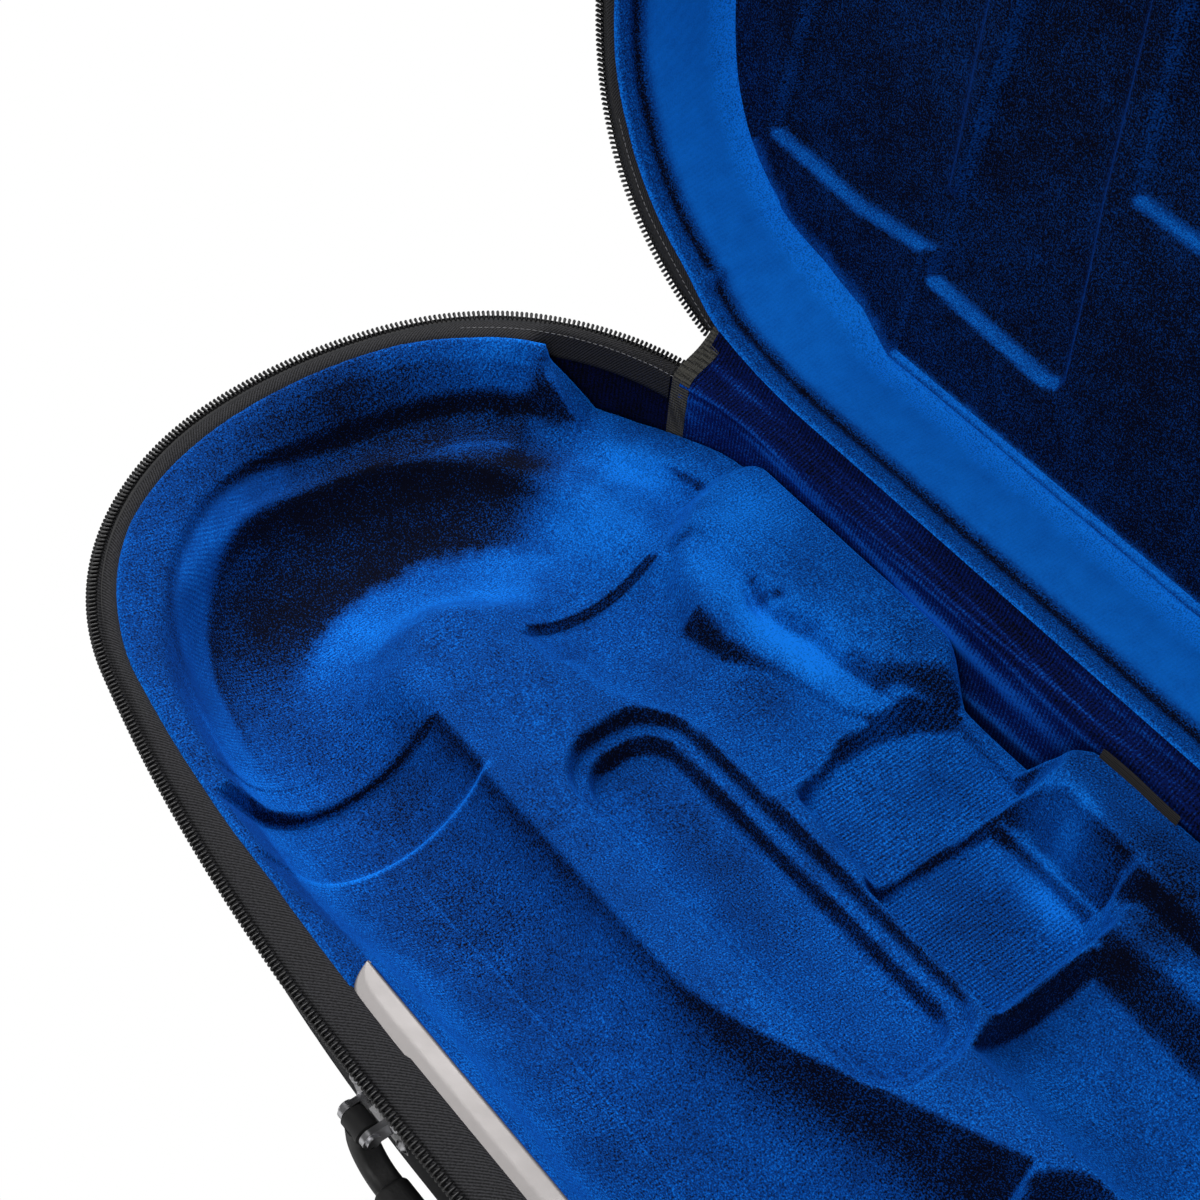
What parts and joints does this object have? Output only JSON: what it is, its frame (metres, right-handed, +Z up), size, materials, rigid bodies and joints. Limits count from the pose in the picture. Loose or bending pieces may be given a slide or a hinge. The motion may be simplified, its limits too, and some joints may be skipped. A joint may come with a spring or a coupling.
{
  "type": "tenor saxophone case",
  "caption": "Contoured zip-closed tenor saxophone case lying open: cloth-covered tray and hinged lid, moulded velour liners with beds for the horn, carry handle and strap rings.",
  "frame": {"origin": "on the ground under the middle of the tray, at half the 850 mm that the case measures from the bell end to the neck end", "axes": "+X along the hinge from the bell end to the neck end, +Y from the handle side to the hinge, +Z up"},
  "size_m": [0.8543, 0.5098, 0.4807],
  "materials": {
    "cover": "woven nylon over a stiff moulded shell",
    "foam": "closed cell foam",
    "velour": "short pile velour over moulded foam",
    "tape": "twill zip tape",
    "coil": "moulded nylon chain",
    "ribbon": "ribbed binding ribbon",
    "webbing": "folded webbing",
    "zinc": "dark plated die casting",
    "steel": "plated steel",
    "grip": "moulded soft grip",
    "plate": "light grey satin",
    "foot": "domed rubber"
  },
  "bodies": {
    "tray": {"tray_shell": "cover", "tray_base_foam": "foam", "tray_liner": "velour", "tray_rim_binding": "ribbon", "tray_zip_tape": "tape", "tray_zip_coil": "coil", "hinge_gusset": "velour", "hinge_strip": "ribbon", "hinge_binding_bell": "ribbon", "hinge_binding_neck": "ribbon", "label_tab": "ribbon", "zip_slider": "zinc", "handle_bracket_left": "steel", "handle_bracket_right": "steel", "handle_pin_left": "steel", "handle_pin_right": "steel", "handle_rivets": "steel", "handle_backing_plate": "plate", "strap_tab_bell": "webbing", "strap_tab_neck": "webbing", "strap_rivets": "steel", "rear_feet": "foot"},
    "lid": {"lid_shell": "cover", "lid_top_foam": "foam", "lid_liner": "velour", "lid_rim_binding": "ribbon", "lid_zip_tape": "tape", "lid_zip_coil": "coil"},
    "zip_pull": {"zip_pull": "zinc"},
    "handle": {"handle_grip": "grip"},
    "ring_bell": {"strap_ring_bell": "steel"},
    "ring_neck": {"strap_ring_neck": "steel"}
  },
  "joints": [
    {"name": "lid_hinge", "type": "hinge", "parent": "tray", "child": "lid", "pos_m": [0, 0.18, 0.124], "axis": [1, 0, 0], "range_deg": [0, 100], "deforming": ["hinge_gusset", "hinge_strip", "hinge_binding_bell", "hinge_binding_neck"]},
    {"name": "pull_swing", "type": "hinge", "parent": "tray", "child": "zip_pull", "pos_m": [0.38312, 0.16761, 0.1153], "axis": [0.5592, 0.829, 0], "range_deg": [-70, 70]},
    {"name": "handle_fold", "type": "hinge", "parent": "tray", "child": "handle", "pos_m": [-0.02, -0.17463, 0.062], "axis": [-1, 0, 0], "range_deg": [0, 100]},
    {"name": "ring_bell_swing", "type": "hinge", "parent": "tray", "child": "ring_bell", "pos_m": [-0.41756, 0.005, 0.08315], "axis": [0, 1, 0], "range_deg": [0, 120]},
    {"name": "ring_neck_swing", "type": "hinge", "parent": "tray", "child": "ring_neck", "pos_m": [0.41828, 0.06592, 0.08315], "axis": [0, -1, 0], "range_deg": [0, 120]}
  ]
}
